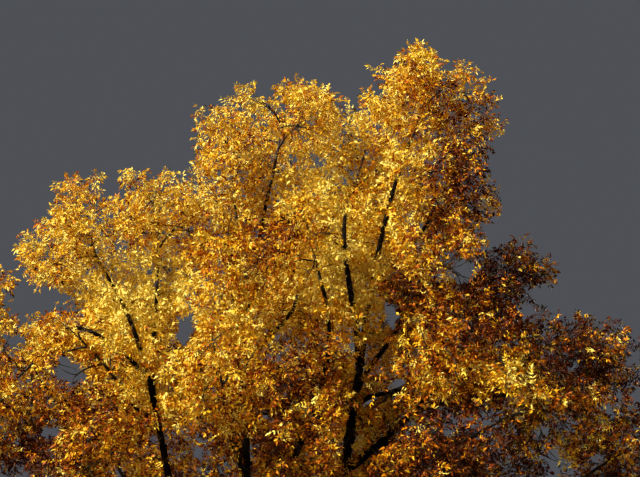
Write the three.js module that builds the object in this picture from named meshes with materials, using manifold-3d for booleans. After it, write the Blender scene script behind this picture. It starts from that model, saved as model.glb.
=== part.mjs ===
// Bitternut hickory, a large open-grown tree in autumn leaf, on one trunk that forks low into upright stems.
// Millimetres, +Z up. The origin is the middle of the flat cut under the trunk. The view of it is from -Y.
// The trunk, stems and boughs are tapering limbs. Each limb ends where it enters its own mass of leaves,
// which is one solid: a stem, the branches that leave it, and large flat sprays of leaves fused to them.
import * as THREE from "three";
import { mergeVertices } from "three/addons/utils/BufferGeometryUtils.js";
import Module from "manifold-3d";

const wasm = await Module();
wasm.setup();

// Sizes that the whole tree shares
const METRE = 1000;
const SEAT_GAP = 0.3; // between two pieces that carry each other
const TIDY = 1; // corners that stand out by less are smoothed away
const BEAD_SPACING = 0.06 * METRE; // of the spheres that stand for a limb when distances are measured
const PROBE_ROWS = 12; // of points on a spray, tested in the same way
const FIRST_SEED = 101;
const SEED_STEP = 17;
const UP = new THREE.Vector3(0, 0, 1);
const GOLDEN_TURN = Math.PI * (3 - Math.sqrt(5));

// The trunk, from the ground to the fork
const TRUNK = {
  height: 3.9 * METRE,
  lean: 0.18 * METRE, // to +X at the fork
  breastRadius: 0.39 * METRE,
  forkRadius: 0.34 * METRE,
  flare: 0.24 * METRE,
  flareHeight: 0.42 * METRE, // the flare falls to about a third over this height
  buttresses: 5,
  buttressShare: 0.3, // how far the buttresses stand out, as a share of the flare
  sides: 15,
  rings: [0, 0.04, 0.1, 0.2, 0.4, 1],
};

// How limbs taper and leave their parent
const LIMB = {
  tipRadius: 0.045 * METRE,
  taper: 1.5, // 1 is an even taper, and more thins a limb sooner
  collar: 0.3, // how much wider a limb is where it leaves its parent
  collarShare: 0.05, // the collar falls to about a third over this share of the limb
  followParent: 0.55, // how much of the parent's direction a bough starts with
  reachUp: 0.35, // how much a bough turns up as it arrives
  guide: 0.36, // length of the curve's guides, as a share of the span
  entry: 0.82, // how far out in its mass a limb ends, as a share of the mass's half size
  stemSides: 8,
  boughSides: 6,
  stemRings: [0, 0.06, 0.16, 0.3, 0.45, 0.6, 0.8, 1],
  boughRings: [0, 0.14, 0.48, 1],
};

// How a mass of leaves is built inside its space, where shares are of the mass's half size
const MASS = {
  stemRadius: 0.08 * METRE,
  stemTaper: 0.3,
  stemThrough: 0.34, // how far past the middle the stem reaches
  stemRise: 0.22,
  branches: 7,
  branchReach: 0.5,
  branchRadius: 0.042 * METRE,
  branchTip: 0.034 * METRE,
  branchSag: 0.18, // how far a branch bends towards the stem's own direction
  branchFirst: 0.3, // the share of the stem where the first branch leaves
  branchLast: 0.98,
  baseClear: 0.2, // branches that would point back at the bough are left out
  wallGap: 0.012 * METRE,
  limbGap: 0.01 * METRE,
};

// A spray of leaves is one flat lozenge, larger than life
const SPRAY = {
  shares: [1, 0.75, 0.5], // where the sprays leave their branch, the end first
  spread: 0.95, // radians between a side spray and its branch
  longest: 1.6, // as a share of the mass's mean half size
  shortest: 0.9 * METRE,
  shrink: 0.93, // a spray that doesn't fit is made this much smaller, until it does
  width: 0.9, // as a share of its length
  thickness: 0.036,
  widest: 0.55, // how far along it is widest
  turnOut: 0.4, // how far it turns from facing straight out of the crown
  root: 0.02 * METRE, // how far it is sunk past the middle of its branch
  apart: 0.04 * METRE,
  limbGap: 0.09 * METRE,
};

// Every limb and the mass of leaves at its end, in metres. from is the limb that carries it, and at the share
// of that limb's curve where it leaves. radius is its own where it leaves, and guides, where given, are the
// two points that bend a main stem. centre and half are the middle and the half sizes of its mass.
const LIMBS = [
  { name: "stem_right", from: "trunk", at: 1, radius: 0.215,
    guides: [[2.6, -0.7, 9.4], [1.9, -2.6, 13.6]],
    centre: [4.35, 0, 20.4], half: [1.9, 2.3, 2.1], tint: "gold" },
  { name: "stem_middle", from: "trunk", at: 0.9, radius: 0.18,
    guides: [[-0.7, 0.4, 8.5], [-0.9, -0.4, 13.4]],
    centre: [0.25, 0.4, 19.4], half: [2, 2.2, 1.95], tint: "gold" },
  { name: "stem_left", from: "trunk", at: 0.76, radius: 0.165,
    guides: [[-2.9, -0.9, 8], [-2.2, -1.3, 11.6]],
    centre: [-5, -0.2, 16.05], half: [1.9, 2.2, 1.85], tint: "gold" },
  { name: "stem_front", from: "stem_middle", at: 0.3, radius: 0.14,
    guides: [[0.5, -1.7, 9.6], [2, -2.2, 11.6]],
    centre: [1, -2.9, 15], half: [1.25, 2.1, 1.7], tint: "gold" },
  { name: "bough_saddle", from: "stem_right", at: 0.55, radius: 0.1,
    guides: [[2.2, -2.3, 13.6], [1.6, -2.2, 15.4]],
    centre: [2.5, 1.2, 18.65], half: [1.8, 2.2, 2.4], tint: "gold" },
  { name: "bough_main_right", from: "stem_right", at: 0.37, radius: 0.12,
    guides: [[3, -1.2, 10.3], [4.4, -1.2, 11.8]],
    centre: [6.25, 0.4, 14.7], half: [1.5, 2.4, 1.55], tint: "bronze" },
  { name: "bough_right_upper", from: "stem_right", at: 0.68, radius: 0.075,
    centre: [4.9, -0.5, 17.4], half: [1.4, 2.3, 1.9], tint: "amber" },
  { name: "bough_upper_left", from: "stem_middle", at: 0.7, radius: 0.075,
    centre: [-1.15, -0.4, 18], half: [1.35, 2.1, 2.1], tint: "gold" },
  { name: "bough_left_shoulder", from: "stem_left", at: 0.66, radius: 0.075,
    centre: [-3, -0.3, 16.2], half: [1.7, 2.2, 2.1], tint: "gold" },
  { name: "bough_centre_left", from: "stem_middle", at: 0.5, radius: 0.08,
    centre: [-0.9, -2.9, 14], half: [1.6, 2, 1.7], tint: "gold" },
  { name: "bough_centre_right", from: "stem_right", at: 0.5, radius: 0.08,
    centre: [4, -2.9, 14.1], half: [1.6, 2, 1.6], tint: "amber" },
  { name: "bough_left_mid", from: "stem_left", at: 0.6, radius: 0.08,
    centre: [-4.3, -2.4, 12], half: [1.8, 2.2, 1.5], tint: "gold" },
  { name: "bough_left_low", from: "stem_left", at: 0.72, radius: 0.058,
    guides: [[-3.9, -0.9, 13], [-5, -0.9, 13.7]],
    centre: [-6.5, -0.3, 11.8], half: [2.1, 2.6, 2.3], tint: "amber" },
  { name: "bough_left_front", from: "stem_left", at: 0.32, radius: 0.08,
    centre: [-3.8, -3.4, 9.5], half: [1.8, 2.2, 1.5], tint: "amber" },
  { name: "bough_mid_left", from: "stem_middle", at: 0.38, radius: 0.08,
    centre: [-1.1, -3.9, 11.3], half: [1.6, 2.1, 1.6], tint: "gold" },
  { name: "bough_low_centre", from: "stem_front", at: 0.2, radius: 0.075,
    centre: [0.6, -4.2, 10.2], half: [1.3, 2, 1.6], tint: "amber" },
  { name: "bough_right_mid", from: "stem_right", at: 0.47, radius: 0.08,
    centre: [4.6, -3.8, 11.8], half: [1.8, 2.2, 1.5], tint: "amber" },
  { name: "bough_right_far", from: "bough_main_right", at: 0.45, radius: 0.08,
    centre: [8.05, 0, 12.6], half: [1.65, 2.4, 1.5], tint: "bronze" },
  { name: "bough_right_low", from: "bough_main_right", at: 0.2, radius: 0.08,
    centre: [6.6, -2.9, 10.4], half: [1.8, 2.3, 1.5], tint: "bronze" },
  { name: "bough_right_front", from: "stem_right", at: 0.26, radius: 0.08,
    centre: [3.9, -4.5, 8.8], half: [1.8, 2.2, 1.5], tint: "amber" },
  { name: "bough_far_right", from: "stem_right", at: 0.2, radius: 0.11,
    centre: [9, 0.2, 10], half: [1.6, 2.5, 1.7], tint: "bronze" },
  { name: "bough_back_top", from: "stem_middle", at: 0.6, radius: 0.11,
    centre: [1.2, 4, 16.8], half: [2.7, 2.5, 2.3], tint: "amber" },
  { name: "bough_back_left", from: "stem_middle", at: 0.44, radius: 0.12,
    centre: [-3.6, 4, 14.3], half: [2.8, 2.9, 2.4], tint: "amber" },
  { name: "bough_back_right", from: "stem_right", at: 0.42, radius: 0.12,
    centre: [5.4, 4.2, 14.8], half: [2.9, 2.8, 2.4], tint: "bronze" },
  { name: "bough_back_middle", from: "stem_middle", at: 0.32, radius: 0.12,
    centre: [1.2, 5.1, 12.5], half: [3, 2.7, 2.4], tint: "amber" },
  { name: "bough_back_low_left", from: "stem_left", at: 0.24, radius: 0.1,
    centre: [-3.6, 4.2, 10], half: [2.8, 2.8, 2.3], tint: "amber" },
  { name: "bough_back_low_right", from: "stem_right", at: 0.3, radius: 0.12,
    centre: [5.2, 4.7, 10], half: [2.9, 2.8, 2.3], tint: "bronze" },
  { name: "bough_skirt_left", from: "stem_left", at: 0.16, radius: 0.08,
    centre: [-5, -0.1, 7.5], half: [2.1, 2.4, 1.5], tint: "amber" },
  { name: "bough_skirt_back", from: "stem_middle", at: 0.16, radius: 0.1,
    centre: [0.4, 4.4, 8], half: [2.3, 2.3, 1.6], tint: "amber" },
];

// Colour, roughness and metalness of the bark and of the leaves' three tints
const material = (color, roughness) =>
  new THREE.MeshStandardMaterial({ color, roughness, metalness: 0, flatShading: true });
const MATERIALS = {
  bark: material(0x4d4036, 0.92),
  gold: material(0xe0a520, 0.6),
  amber: material(0xc4801c, 0.62),
  bronze: material(0x8d5a1c, 0.66),
};

// Vectors and seeded numbers

function metres([x, y, z]) {
  return new THREE.Vector3(x, y, z).multiplyScalar(METRE);
}

// The same draw follows from the same seed on every machine.
function seeded(seed) {
  let state = seed >>> 0;
  return () => {
    state = (Math.imul(state, 1664525) + 1013904223) >>> 0;
    return state / 2 ** 32;
  };
}

// One of count directions spread evenly over a ball, turned about the upright by turn.
function evenDirection(i, count, turn) {
  const height = 1 - (2 * i + 1) / count;
  const ring = Math.sqrt(1 - height * height);
  const angle = i * GOLDEN_TURN + turn;
  return new THREE.Vector3(ring * Math.cos(angle), ring * Math.sin(angle), height);
}

// A direction across the given one, as near as it gets to the coordinate axis that lies furthest from it.
function across(direction) {
  const sizes = direction.toArray().map(Math.abs);
  const axis = new THREE.Vector3().setComponent(sizes.indexOf(Math.min(...sizes)), 1);
  return axis.addScaledVector(direction, -axis.dot(direction)).normalize();
}

// Solids

function solid(geometry) {
  ["normal", "uv"].forEach((name) => geometry.deleteAttribute(name));
  const merged = mergeVertices(geometry, 1e-3);
  return new wasm.Manifold(new wasm.Mesh({
    numProp: 3,
    vertProperties: new Float32Array(merged.attributes.position.array),
    triVerts: new Uint32Array(merged.index.array),
  }));
}

// The largest body of a solid, so that no loose scrap is kept.
function largestBody(manifold) {
  return manifold.decompose().reduce((best, body) => (body.volume() > best.volume() ? body : best));
}

function meshOf(name, manifold, look) {
  const { vertProperties, triVerts } = manifold.getMesh();
  const geometry = new THREE.BufferGeometry();
  geometry.setAttribute("position", new THREE.BufferAttribute(new Float32Array(vertProperties), 3));
  geometry.setIndex(new THREE.BufferAttribute(new Uint32Array(triVerts), 1));
  const mesh = new THREE.Mesh(geometry, look);
  mesh.name = name;
  return mesh;
}

// A closed round of changing radius along a curve: a unit cylinder whose rings are carried onto the curve.
// radiusAt takes the share along the curve and the angle round it. extra makes it that much larger all round.
function sweep(curve, radiusAt, sides, shares, extra = 0) {
  const cylinder = new THREE.CylinderGeometry(1, 1, 1, sides, shares.length - 1);
  const position = cylinder.attributes.position;
  const reference = across(curve.getPoint(1).sub(curve.getPoint(0)).normalize());
  const rings = shares.map((share) => {
    const tangent = curve.getTangent(share);
    const side = reference.clone().addScaledVector(tangent, -reference.dot(tangent)).normalize();
    const centre = curve.getPoint(share).addScaledVector(tangent, (2 * share - 1) * extra);
    return { share, centre, side, other: new THREE.Vector3().crossVectors(tangent, side) };
  });
  for (let i = 0; i < position.count; i++) {
    const { share, centre, side, other } = rings[Math.round((position.getY(i) + 0.5) * (shares.length - 1))];
    const [x, y] = [position.getX(i), -position.getZ(i)];
    const radius = radiusAt(share, Math.atan2(y, x)) + extra;
    const point = centre.clone().addScaledVector(side, x * radius).addScaledVector(other, y * radius);
    position.setXYZ(i, ...point.toArray());
  }
  return solid(cylinder);
}

const evenShares = (count) => Array.from({ length: count + 1 }, (_, i) => i / count);

// Trunk

function trunkCurve() {
  const { lean, height } = TRUNK;
  return new THREE.CubicBezierCurve3(
    new THREE.Vector3(0, 0, 0),
    new THREE.Vector3(0, 0, height / 3),
    new THREE.Vector3(lean / 2, 0, (2 * height) / 3),
    new THREE.Vector3(lean, 0, height),
  );
}

// The root flare stands out in buttresses, and dies away up the trunk.
function trunkRadius(share, angle) {
  const { height, breastRadius, forkRadius, flare, flareHeight, buttresses, buttressShare } = TRUNK;
  const spread = flare * Math.exp((-share * height) / flareHeight);
  return THREE.MathUtils.lerp(breastRadius, forkRadius, share)
    + spread * (1 + buttressShare * Math.cos(buttresses * angle));
}

// Stems and boughs

function limbRadius(limb, share) {
  const body = LIMB.tipRadius + (limb.radius * METRE - LIMB.tipRadius) * Math.pow(1 - share, LIMB.taper);
  return body * (1 + LIMB.collar * Math.exp(-share / LIMB.collarShare));
}

// A limb starts inside its parent, or on the trunk's top, and ends on the near side of its mass.
function limbCurve(limb, parent) {
  const leaving = parent.curve.getTangent(limb.at);
  const start = parent.curve.getPoint(limb.at);
  const centre = metres(limb.centre);
  const half = metres(limb.half);
  const last = limb.guides ? metres(limb.guides[1]) : start;
  const outward = last.clone().sub(centre).divide(half).normalize().multiplyScalar(LIMB.entry);
  const tip = outward.multiply(half).add(centre);
  if (limb.guides) return new THREE.CubicBezierCurve3(start, ...limb.guides.map(metres), tip);
  const span = tip.clone().sub(start);
  const heading = span.clone().normalize();
  const first = heading.clone().lerp(leaving, LIMB.followParent).normalize();
  const final = heading.clone().lerp(UP, LIMB.reachUp).normalize();
  return new THREE.CubicBezierCurve3(
    start,
    start.clone().addScaledVector(first, LIMB.guide * span.length()),
    tip.clone().addScaledVector(final, -LIMB.guide * span.length()),
    tip,
  );
}

function limbSolid(limb, extra) {
  const [sides, shares] = limb.guides ? [LIMB.stemSides, LIMB.stemRings] : [LIMB.boughSides, LIMB.boughRings];
  return sweep(limb.curve, (share) => limbRadius(limb, share), sides, shares, extra);
}

// Spaces that the masses of leaves keep to

// Flat walls between a mass and its neighbours keep their leaves apart.
function spaceOf(limb, others) {
  const centre = metres(limb.centre);
  const half = metres(limb.half);
  const reach = (size, direction) => 1 / direction.clone().divide(metres(size)).length();
  const walls = others.map((other) => {
    const offset = metres(other.centre).sub(centre);
    const normal = offset.clone().normalize();
    const share = reach(limb.half, normal) / (reach(limb.half, normal) + reach(other.half, normal));
    return { normal, point: centre.clone().addScaledVector(offset, share) };
  });
  return { centre, half, walls };
}

function holds(space, point) {
  const inside = point.clone().sub(space.centre).divide(space.half).length() <= 1;
  return inside && space.walls.every(
    ({ normal, point: on }) => point.clone().sub(on).dot(normal) < -MASS.wallGap,
  );
}

// Spheres along a curve, closely enough spaced to stand for it when distances are measured.
function beadsOf(curve, radiusAt) {
  const count = Math.ceil(curve.getLength() / BEAD_SPACING);
  return evenShares(count).map((share) => ({ point: curve.getPoint(share), radius: radiusAt(share) }));
}

function clearOf(beads, point, room) {
  return beads.every(({ point: bead, radius }) => bead.distanceTo(point) > radius + room);
}

// Masses of leaves

function stemCurve(limb, space) {
  const tangent = limb.curve.getTangent(1);
  const base = limb.curve.getPoint(1).addScaledVector(tangent, SEAT_GAP);
  const toCentre = space.centre.clone().sub(base);
  const end = space.centre.clone()
    .addScaledVector(toCentre, MASS.stemThrough)
    .addScaledVector(UP, MASS.stemRise * space.half.z);
  const bend = base.clone().addScaledVector(tangent, toCentre.length() / 2);
  return new THREE.QuadraticBezierCurve3(base, bend, end);
}

// A branch leaves the stem early when it heads back to the bough, and late when it heads for the far side.
function branchCurve(stem, stemHeading, space, heading) {
  const late = (1 + heading.dot(stemHeading)) / 2;
  const share = THREE.MathUtils.lerp(MASS.branchFirst, MASS.branchLast, late);
  const start = stem.getPoint(share);
  const end = heading.clone().multiply(space.half).multiplyScalar(MASS.branchReach).add(space.centre);
  const bend = start.clone().lerp(end, 0.5)
    .addScaledVector(stem.getTangent(share), MASS.branchSag * start.distanceTo(end));
  return new THREE.QuadraticBezierCurve3(start, bend, end);
}

const branchRadius = (share) => THREE.MathUtils.lerp(MASS.branchRadius, MASS.branchTip, share);

// How far a spray may run from start before it leaves the rounded space of its mass.
function roomAlong(space, start, direction) {
  const from = start.clone().sub(space.centre).divide(space.half);
  const along = direction.clone().divide(space.half);
  const [a, b, c] = [along.lengthSq(), from.dot(along), from.lengthSq() - 1];
  return (-b + Math.sqrt(Math.max(b * b - a * c, 0))) / a;
}

// Where a spray lies: its root, its direction, its length, and the way that it faces.
function layOut(space, branch, share, spin) {
  const tangent = branch.getTangent(share);
  const start = branch.getPoint(share);
  const side = across(tangent).applyAxisAngle(tangent, spin);
  const lift = share === 1 ? 0 : SPRAY.spread;
  const direction = tangent.clone().multiplyScalar(Math.cos(lift)).addScaledVector(side, Math.sin(lift));
  const longest = (SPRAY.longest * (space.half.x + space.half.y + space.half.z)) / 3;
  const length = Math.min(roomAlong(space, start, direction), longest);
  const facing = start.clone().sub(space.centre).normalize().addScaledVector(side, SPRAY.turnOut);
  const normal = facing.addScaledVector(direction, -facing.dot(direction)).normalize();
  return { start, direction, length, normal, breadth: new THREE.Vector3().crossVectors(normal, direction) };
}

function sprayPoint({ start, direction, length, normal, breadth }, along, out, up) {
  return start.clone()
    .addScaledVector(direction, along)
    .addScaledVector(breadth, (out * length * SPRAY.width) / 2)
    .addScaledVector(normal, (up * length * SPRAY.thickness) / 2);
}

// A lozenge of eight faces, with its root sunk in its branch.
function spraySolid(spray) {
  const lozenge = new THREE.OctahedronGeometry(1, 0);
  const position = lozenge.attributes.position;
  for (let i = 0; i < position.count; i++) {
    const end = position.getX(i) > 0 ? 1 : 0;
    const share = THREE.MathUtils.lerp(SPRAY.widest, end, Math.abs(position.getX(i)));
    const along = share * (spray.length + SPRAY.root) - SPRAY.root;
    position.setXYZ(i, ...sprayPoint(spray, along, position.getY(i), position.getZ(i)).toArray());
  }
  return solid(lozenge);
}

// Points over a spray's outline, closely enough spaced that no limb passes between them.
function sprayProbes(spray) {
  const sideways = [-1, -0.5, 0, 0.5, 1];
  return evenShares(PROBE_ROWS).flatMap((along) => {
    const width = Math.min(along / SPRAY.widest, (1 - along) / (1 - SPRAY.widest));
    return sideways.map((out) => sprayPoint(spray, along * spray.length, out * width, 0));
  });
}

// A spray shrinks until it keeps to its space and touches no limb, branch or other spray, or it is left out.
function fittedSpray(spray, space, obstacles, others) {
  for (; spray.length > SPRAY.shortest; spray.length *= SPRAY.shrink) {
    const free = sprayProbes(spray).every(
      (point) => holds(space, point) && clearOf(obstacles, point, SPRAY.limbGap),
    );
    if (!free) continue;
    const blade = spraySolid(spray);
    if (others.every((other) => blade.minGap(other, SPRAY.apart) >= SPRAY.apart)) return blade;
  }
  return null;
}

function massSolid(limb, space, obstacles, seed) {
  const random = seeded(seed);
  const turn = random() * 2 * Math.PI;
  const { stem } = limb;
  const stemHeading = stem.getPoint(1).sub(stem.getPoint(0)).normalize();
  const stemRadius = (share) => MASS.stemRadius * (1 - MASS.stemTaper * share);
  const branches = [];
  for (let i = 0; i < MASS.branches; i++) {
    const heading = evenDirection(i, MASS.branches, turn);
    const spin = random() * 2 * Math.PI;
    if (heading.dot(stemHeading) < -1 + MASS.baseClear) continue;
    const curve = branchCurve(stem, stemHeading, space, heading);
    const free = beadsOf(curve, branchRadius).every(
      ({ point, radius }) => holds(space, point) && clearOf(obstacles, point, radius + MASS.limbGap),
    );
    if (free) branches.push({ curve, spin, wood: sweep(curve, branchRadius, 3, evenShares(2)) });
  }
  const wood = [sweep(stem, stemRadius, 4, evenShares(2)), ...branches.map((branch) => branch.wood)];
  const blades = [];
  SPRAY.shares.forEach((share, k) => branches.forEach((branch) => {
    const spray = layOut(space, branch.curve, share, branch.spin + k * GOLDEN_TURN);
    const others = [...wood.filter((piece) => piece !== branch.wood), ...blades];
    const blade = fittedSpray(spray, space, obstacles, others);
    if (blade) blades.push(blade);
  }));
  return largestBody(wasm.Manifold.union([...wood, ...blades])).asOriginal().simplify(TIDY);
}

// The tree

const tree = new THREE.Group();
tree.name = "bitternut_hickory";

const trunk = { name: "trunk", curve: trunkCurve() };
const trunkSolid = (extra) => sweep(trunk.curve, trunkRadius, TRUNK.sides, TRUNK.rings, extra);
tree.add(meshOf("trunk", trunkSolid(0), MATERIALS.bark));

// Limbs are made in order, and each is cut clear of its parent and of the limbs that leave the same parent.
const made = new Map([["trunk", { ...trunk, grown: trunkSolid(SEAT_GAP) }]]);
for (const limb of LIMBS) {
  const parent = made.get(limb.from);
  limb.curve = limbCurve(limb, parent);
  const neighbours = [...made.values()].filter((other) => other === parent || other.from === limb.from);
  const cut = neighbours.reduce((rest, { grown }) => rest.subtract(grown), limbSolid(limb, 0));
  tree.add(meshOf(limb.name, largestBody(cut), MATERIALS.bark));
  limb.grown = limbSolid(limb, SEAT_GAP);
  made.set(limb.name, limb);
}

// Each mass is named for its limb, and keeps clear of every limb and of the other masses' stems.
const limbBeads = [
  ...beadsOf(trunk.curve, (share) => trunkRadius(share, 0)),
  ...LIMBS.flatMap((limb) => beadsOf(limb.curve, (share) => limbRadius(limb, share))),
];
const spaces = LIMBS.map((limb) => spaceOf(limb, LIMBS.filter((other) => other !== limb)));
LIMBS.forEach((limb, i) => {
  limb.stem = stemCurve(limb, spaces[i]);
  limb.stemBeads = beadsOf(limb.stem, () => MASS.stemRadius);
});
LIMBS.forEach((limb, i) => {
  const otherStems = LIMBS.filter((other) => other !== limb).flatMap((other) => other.stemBeads);
  const leaves = massSolid(limb, spaces[i], [...limbBeads, ...otherStems], FIRST_SEED + i * SEED_STEP);
  tree.add(meshOf(limb.name.replace(/^(stem|bough)/, "leaves"), leaves, MATERIALS[limb.tint]));
});

export default tree;
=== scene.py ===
import math

import bpy
import numpy as np
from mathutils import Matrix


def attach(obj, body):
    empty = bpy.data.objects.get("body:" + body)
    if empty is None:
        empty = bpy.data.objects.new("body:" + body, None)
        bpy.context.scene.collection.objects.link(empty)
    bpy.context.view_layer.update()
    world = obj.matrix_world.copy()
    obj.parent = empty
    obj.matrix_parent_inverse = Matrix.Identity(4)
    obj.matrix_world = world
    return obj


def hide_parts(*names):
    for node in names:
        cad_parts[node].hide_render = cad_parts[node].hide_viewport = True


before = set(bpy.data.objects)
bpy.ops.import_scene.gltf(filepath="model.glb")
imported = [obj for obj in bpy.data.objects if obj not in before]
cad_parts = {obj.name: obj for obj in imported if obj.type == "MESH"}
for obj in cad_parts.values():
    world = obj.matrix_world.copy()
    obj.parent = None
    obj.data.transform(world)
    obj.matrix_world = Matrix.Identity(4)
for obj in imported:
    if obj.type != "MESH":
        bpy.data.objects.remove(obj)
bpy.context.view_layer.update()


# The view
# The tree is seen from the ground in front of it, at the height of standing eyes and looking up, so that its
# crown fills the picture and the foot of its trunk lies below the lower edge.
EYE = np.array([1.3, -36.0, 1.6])
LOOK_UP = math.radians(22)
PICTURE_WIDTH = 640  # pixels
FOCAL_LENGTH = 1450  # pixels
VIEW_DEPTH = 400


def placed(name, data):
    """A new object of the scene, made from this lens, mesh or lamp."""
    thing = bpy.data.objects.new(name, data)
    bpy.context.collection.objects.link(thing)
    return thing


lens = bpy.data.cameras.new("view")
lens.sensor_fit = "HORIZONTAL"
lens.lens = lens.sensor_width * FOCAL_LENGTH / PICTURE_WIDTH
lens.clip_end = VIEW_DEPTH
camera = placed("view", lens)
camera.location = EYE
camera.rotation_euler = (math.pi / 2 + LOOK_UP, 0, 0)
bpy.context.scene.camera = camera


# The trunk
# Living wood on a flared foot with five low buttresses, up to the fork where the stems part. Its bark is
# tight and grey-brown, split into narrow ridges that part and join again, each of them raised in the mesh.
TRUNK_HEIGHT = 3.9
TRUNK_LEAN = 0.18  # to +X at the fork
BREAST_RADIUS = 0.39
FORK_RADIUS = 0.34
FLARE = 0.24
FLARE_HEIGHT = 0.42  # the flare falls to about a third over this height
BUTTRESSES = 5
BUTTRESS_SHARE = 0.3
TRUNK_DOME = 0.3  # of the rounded wood between the stems
TRUNK_RING_SPACING = 0.035
TRUNK_POINTS_PER_RIDGE = 4
RIDGE_SPACING = 0.062  # round the limb, where it leaves its carrier
RIDGE_DEPTH = 0.04  # as a share of the limb's radius
RIDGE_LEVEL = 0.6  # the height on a ridge at which the limb has its own radius
RIDGE_SLANT = 4.2  # radians of pattern to a metre along the limb
RIDGE_WANDER = [(0.8, 2, 1.9), (0.6, 3, -3.1), (0.5, 5, 5.3)]  # size, waves round, radians to a metre along
RIDGE_CROSSING = 0.7  # how much of that the ridges that slant the other way wander
RIDGE_SHARPNESS = 0.8  # below 1, a ridge has a sharp crest
END_RIDGE = 0.5  # the bark's height at the middle of a limb's foot and tip
SWELLING = 0.022  # slow swellings of a limb, as a share of its radius
SWELLINGS_ROUND = 3
SWELLINGS_ALONG = (1.3, 2.3)  # radians to a metre
DOME_RINGS = 5
LENGTH_STEPS = 64  # that a curve's length is measured in

# From the furrows up to the ridges: the near-black furrows are partly the bark's own darker colour and partly
# painted shade
BARK_FURROW = (0.006, 0.004, 0.003, 1)
BARK_SIDE = (0.028, 0.021, 0.015, 1)
BARK_RIDGE = (0.085, 0.066, 0.049, 1)
BARK_LICHEN = (0.14, 0.128, 0.1, 1)
CROWN_SHADE_ON_BARK = (0.26, 0.22, 0.19, 1)  # painted shade of the crown on the upper limbs, as shares of the trunk's colours
CROWN_SHADE_HEIGHTS = (2.5, 8.0)  # heights between which the trunk's bark passes into that painted shade
BARK_SHINE = 0.1
RIDGE_SHARE = 0.75  # of the bark's colour follows its ridges, darker down in the furrows partly as painted shade, and the rest a fine grain
GRAIN_STRETCH = (1, 1, 0.22)


def unit(vectors):
    return vectors / np.linalg.norm(vectors, axis=-1, keepdims=True)


def point_on(curve, shares):
    """Points of a Bezier curve of any degree, at these shares of it."""
    points = np.repeat(np.asarray(curve, float)[:, None], len(shares), axis=1)
    while len(points) > 1:
        points = points[:-1] + (points[1:] - points[:-1]) * np.asarray(shares)[:, None]
    return points[0]


def heading_on(curve, shares):
    return unit(point_on(np.diff(np.asarray(curve, float), axis=0), shares))


def length_of(curve, first=0):
    """The length of a curve, from this share of it on."""
    steps = np.diff(point_on(curve, np.linspace(first, 1, LENGTH_STEPS + 1)), axis=0)
    return np.linalg.norm(steps, axis=1).sum()


def across(direction):
    """A direction across the given one, as near as it gets to the axis that lies furthest from it."""
    axis = np.eye(3)[np.argmin(np.abs(direction))]
    return unit(axis - direction * (axis @ direction))


def rings_on(curve, shares):
    """The centre of each ring round a curve, and the three directions that it is drawn with."""
    headings = heading_on(curve, shares)
    reference = across(unit(np.asarray(curve[-1], float) - curve[0]))
    side = unit(reference - headings * (headings @ reference)[:, None])
    return point_on(curve, shares), headings, side, np.cross(headings, side)


def ring_faces(rings, sides):
    """Quads between rings of points, facing out, and the two fans that close the ends."""
    ring, step = np.meshgrid(np.arange(rings - 1), np.arange(sides), indexing="ij")
    near, turned = ring * sides + step, ring * sides + (step + 1) % sides
    quads = np.stack([near, turned, turned + sides, near + sides], axis=-1).reshape(-1, 4).tolist()
    foot, tip = rings * sides, rings * sides + 1
    last = (rings - 1) * sides
    for i in range(sides):
        j = (i + 1) % sides
        quads.append([foot, j, i])
        quads.append([tip, last + i, last + j])
    return quads


def ridge_height(angle, along, ridges, turn):
    """How high the bark stands, from 0 in a furrow to 1 on a ridge. Two families of slanting ridges cross."""
    wander = sum(size * np.sin(waves * angle + rise * along + number * turn)
                 for number, (size, waves, rise) in enumerate(RIDGE_WANDER, start=1))
    left = np.abs(np.sin(ridges / 2 * angle + RIDGE_SLANT * along + wander))
    right = np.abs(np.sin(ridges / 2 * angle - RIDGE_SLANT * along - RIDGE_CROSSING * wander + turn))
    return 1 - np.minimum(left, right) ** RIDGE_SHARPNESS


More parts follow.
